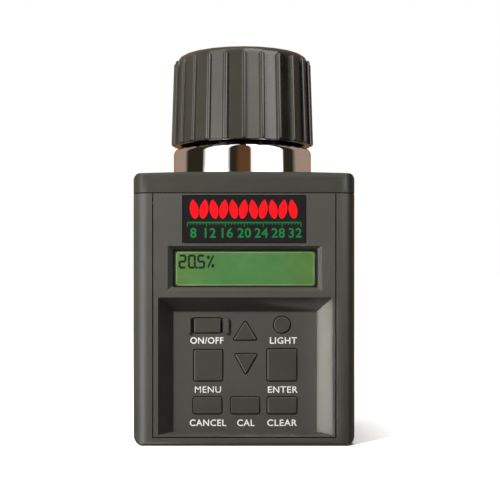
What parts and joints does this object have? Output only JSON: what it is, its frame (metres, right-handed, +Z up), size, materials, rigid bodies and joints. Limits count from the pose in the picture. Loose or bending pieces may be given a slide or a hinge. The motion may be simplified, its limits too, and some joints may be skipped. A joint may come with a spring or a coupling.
{
  "type": "grain moisture meter",
  "caption": "Hand-held grain moisture meter with a green display, a recessed keypad, a chromed test cell and a ribbed screw cap.",
  "frame": {"origin": "centre of the flat underside, midway between the sides and between front and back", "axes": "+Z up towards the cap, -Y out of the display and keypad face, +X to the right as seen from the front"},
  "size_m": [0.0844, 0.072, 0.1535],
  "materials": {
    "housing_plastic": "satin, very fine moulded texture",
    "cap_plastic": "satin black, smooth moulded",
    "key_plastic": "satin black",
    "bush_plastic": "satin",
    "tray_plastic": "matt",
    "label_print": "semi-gloss printed film",
    "clear_window": "clear polished window",
    "lcd_glass": "smooth green display",
    "backlight_white": "diffuse white",
    "circuit_board": "green solder mask",
    "black_rubber": "matt rubber",
    "flex_film": "amber film",
    "chrome_plate": "polished plating",
    "plated_steel": "bright zinc plate",
    "brass_metal": "turned brass",
    "cell_insulator": "natural nylon",
    "battery_can": "plain painted can",
    "red_wire": "insulated wire"
  },
  "bodies": {
    "meter": {"case_tub": "housing_plastic", "front_panel": "housing_plastic", "top_cover": "housing_plastic", "name_label": "label_print", "lcd_lens": "clear_window", "lcd_glass": "lcd_glass", "lcd_frame": "plated_steel", "lcd_backlight": "backlight_white", "display_board": "circuit_board", "key_board": "circuit_board", "key_contact_sheet": "black_rubber", "board_ribbon": "flex_film", "test_cell": "chrome_plate", "cell_gasket": "black_rubber", "cell_floor": "cell_insulator", "centre_electrode": "plated_steel", "electrode_nut": "brass_metal", "battery_tray": "tray_plastic", "battery": "battery_can", "battery_snap": "black_rubber", "battery_lead_red": "red_wire", "battery_lead_black": "black_rubber", "case_screw_1": "plated_steel", "case_screw_2": "plated_steel", "case_screw_3": "plated_steel", "case_screw_4": "plated_steel", "key_board_screw_1": "plated_steel", "key_board_screw_2": "plated_steel", "key_board_screw_3": "plated_steel", "key_board_screw_4": "plated_steel", "display_board_screw_1": "plated_steel", "display_board_screw_2": "plated_steel", "cell_screw_1": "plated_steel", "cell_screw_2": "plated_steel", "cell_screw_3": "plated_steel", "cell_screw_4": "plated_steel"},
    "cap_carrier": {"plunger_bush": "bush_plastic", "bush_ring": "plated_steel", "plate_spring": "plated_steel"},
    "cap_shell": {"cap": "cap_plastic"},
    "pressing_plate": {"indicator_pin": "brass_metal", "pressure_plate": "plated_steel", "plate_screw": "plated_steel"},
    "door": {"battery_door": "housing_plastic"},
    "key_on_off_body": {"key_on_off": "key_plastic"},
    "key_light_body": {"key_light": "key_plastic"},
    "key_up_body": {"key_up": "key_plastic"},
    "key_down_body": {"key_down": "key_plastic"},
    "key_menu_body": {"key_menu": "key_plastic"},
    "key_enter_body": {"key_enter": "key_plastic"},
    "key_cancel_body": {"key_cancel": "key_plastic"},
    "key_cal_body": {"key_cal": "key_plastic"},
    "key_clear_body": {"key_clear": "key_plastic"}
  },
  "joints": [
    {"name": "cap_lift", "type": "slide", "parent": "meter", "child": "cap_carrier", "axis": [0, 0, 1], "range_m": [0, 0.048]},
    {"name": "cap_turn", "type": "hinge", "parent": "cap_carrier", "child": "cap_shell", "pos_m": [0, 0.002, 0.134], "axis": [0, 0, 1], "range_deg": [0, 721]},
    {"name": "plate_travel", "type": "slide", "parent": "cap_carrier", "child": "pressing_plate", "axis": [0, 0, 1], "range_m": [0, 0.004], "stiffness_N_per_m": 1500, "springref_m": -0.003, "deforming": ["plate_spring"]},
    {"name": "battery_door_slide", "type": "slide", "parent": "meter", "child": "door", "axis": [0, 0, -1], "range_m": [0, 0.042]},
    {"name": "key_on_off_press", "type": "slide", "parent": "meter", "child": "key_on_off_body", "axis": [0, 1, 0], "range_m": [0, 0.001], "stiffness_N_per_m": 400},
    {"name": "key_light_press", "type": "slide", "parent": "meter", "child": "key_light_body", "axis": [0, 1, 0], "range_m": [0, 0.001], "stiffness_N_per_m": 400},
    {"name": "key_up_press", "type": "slide", "parent": "meter", "child": "key_up_body", "axis": [0, 1, 0], "range_m": [0, 0.001], "stiffness_N_per_m": 400},
    {"name": "key_down_press", "type": "slide", "parent": "meter", "child": "key_down_body", "axis": [0, 1, 0], "range_m": [0, 0.001], "stiffness_N_per_m": 400},
    {"name": "key_menu_press", "type": "slide", "parent": "meter", "child": "key_menu_body", "axis": [0, 1, 0], "range_m": [0, 0.001], "stiffness_N_per_m": 400},
    {"name": "key_enter_press", "type": "slide", "parent": "meter", "child": "key_enter_body", "axis": [0, 1, 0], "range_m": [0, 0.001], "stiffness_N_per_m": 400},
    {"name": "key_cancel_press", "type": "slide", "parent": "meter", "child": "key_cancel_body", "axis": [0, 1, 0], "range_m": [0, 0.001], "stiffness_N_per_m": 400},
    {"name": "key_cal_press", "type": "slide", "parent": "meter", "child": "key_cal_body", "axis": [0, 1, 0], "range_m": [0, 0.001], "stiffness_N_per_m": 400},
    {"name": "key_clear_press", "type": "slide", "parent": "meter", "child": "key_clear_body", "axis": [0, 1, 0], "range_m": [0, 0.001], "stiffness_N_per_m": 400}
  ],
  "couplings": [
    {"joint": "cap_turn", "follows": "cap_lift", "rad_per_m": 261.8}
  ]
}
